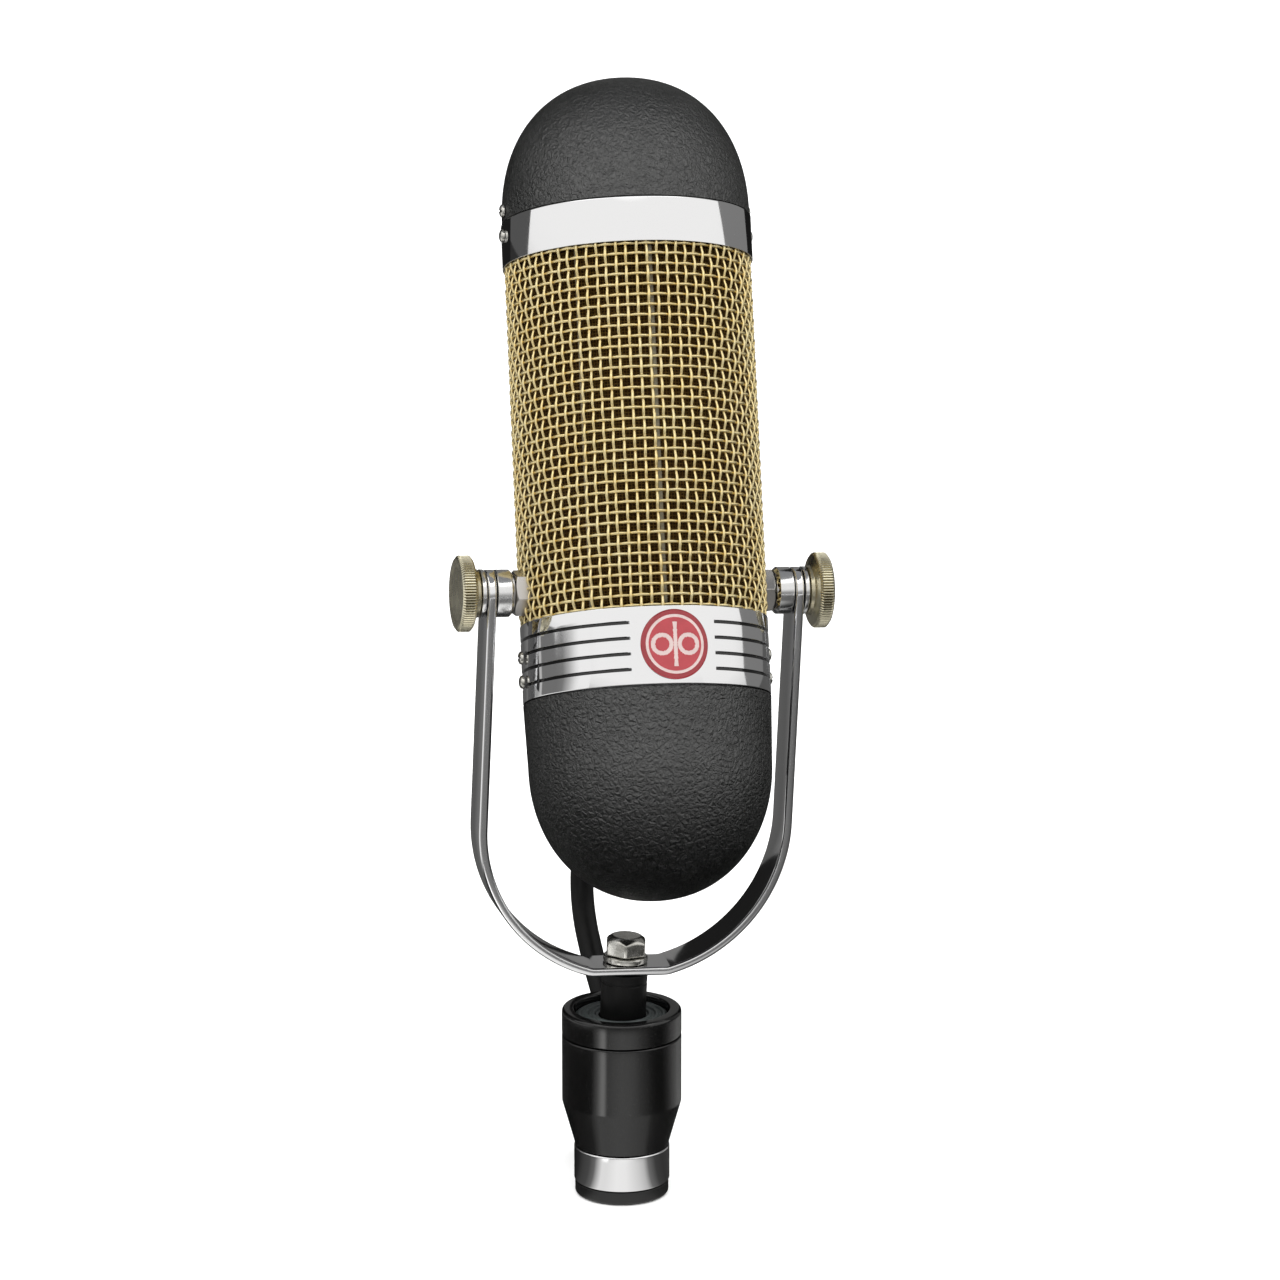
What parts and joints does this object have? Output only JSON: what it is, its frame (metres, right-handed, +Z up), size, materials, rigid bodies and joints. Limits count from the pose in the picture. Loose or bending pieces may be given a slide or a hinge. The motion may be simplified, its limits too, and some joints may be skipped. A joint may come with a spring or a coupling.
{
  "type": "ribbon microphone",
  "caption": "A vintage ribbon microphone: a woven brass grille with dark rounded ends and chrome bands, tipped back in a chrome fork on a black swivelling stand adapter.",
  "frame": {"origin": "centre of the adapter's bottom face, where it stands on a mic stand", "axes": "+Z up, front with the badge towards -Y, +X to the head's left-hand thumb screw axis as seen from behind"},
  "size_m": [0.1017, 0.1229, 0.2986],
  "materials": {
    "wrinkle_paint": "dark grey leather-grain paint",
    "chrome": "bright plated",
    "nickel": "warm nickel plate",
    "brass_mesh": "pale gold woven wire",
    "brass": "machined",
    "gloss_black": "gloss black",
    "satin_black": "satin black",
    "rubber": "matt, moulded",
    "lead_jacket": "satin jacket",
    "badge_enamel": "red enamel",
    "aluminium": "plain",
    "magnet": "plated magnet",
    "board": "solder mask",
    "plastic": "moulded",
    "steel": "plated"
  },
  "bodies": {
    "coupling": {"base_ring": "satin_black", "chrome_ring": "chrome", "threaded_insert": "brass", "retaining_nut": "steel", "swivel_bushing": "plastic"},
    "mount": {"adapter_body": "gloss_black", "adapter_collar": "gloss_black", "isolator": "rubber", "isolator_washer": "steel", "stem": "satin_black", "stem_nut": "steel", "fork": "chrome", "bolt_washer": "nickel", "fork_bolt": "nickel", "connector_shell": "satin_black", "connector_insert": "plastic", "connector_boot": "rubber", "connector_clip": "satin_black", "clip_screw": "steel", "lead": "lead_jacket"},
    "head": {"top_dome": "wrinkle_paint", "bottom_dome": "wrinkle_paint", "top_band": "chrome", "lower_band": "chrome", "badge": "badge_enamel", "grille": "brass_mesh", "inner_screen": "steel", "top_frame": "aluminium", "bottom_frame": "aluminium", "right_rail": "aluminium", "left_rail": "aluminium", "ribbon": "aluminium", "lower_ribbon_clamp": "brass", "upper_ribbon_clamp": "brass", "right_pole_piece": "steel", "left_pole_piece": "steel", "right_magnet": "magnet", "left_magnet": "magnet", "lower_motor_plate": "aluminium", "upper_motor_plate": "aluminium", "circuit_board": "board", "transformer": "steel", "capacitor": "plastic", "gland": "rubber", "right_boss": "nickel", "left_boss": "nickel", "right_bushing": "chrome", "left_bushing": "chrome", "lower_screw_left_1": "nickel", "lower_screw_left_2": "nickel", "lower_screw_right_1": "nickel", "lower_screw_right_2": "nickel", "top_screw_left_1": "nickel", "top_screw_left_2": "nickel", "top_screw_right_1": "nickel", "top_screw_right_2": "nickel", "right_washer": "chrome", "left_washer": "chrome"},
    "right_knob": {"right_knob": "nickel"},
    "left_knob": {"left_knob": "nickel"}
  },
  "joints": [
    {"name": "base_swivel", "type": "hinge", "parent": "coupling", "child": "mount", "pos_m": [0, 0, 0.0138], "axis": [0, 0, 1], "continuous": true},
    {"name": "head_tilt", "type": "hinge", "parent": "mount", "child": "head", "pos_m": [0.00573, 0, 0.16747], "axis": [0.9989, 0, -0.0462], "range_deg": [-14, 42], "deforming": ["lead"]},
    {"name": "right_screw_turn", "type": "hinge", "parent": "head", "child": "right_knob", "pos_m": [0.04899, 0, 0.16547], "axis": [0.9989, 0, -0.0462], "range_deg": [0, 360]},
    {"name": "left_screw_turn", "type": "hinge", "parent": "head", "child": "left_knob", "pos_m": [-0.03752, 0, 0.16947], "axis": [-0.9989, 0, 0.0462], "range_deg": [0, 360]}
  ]
}
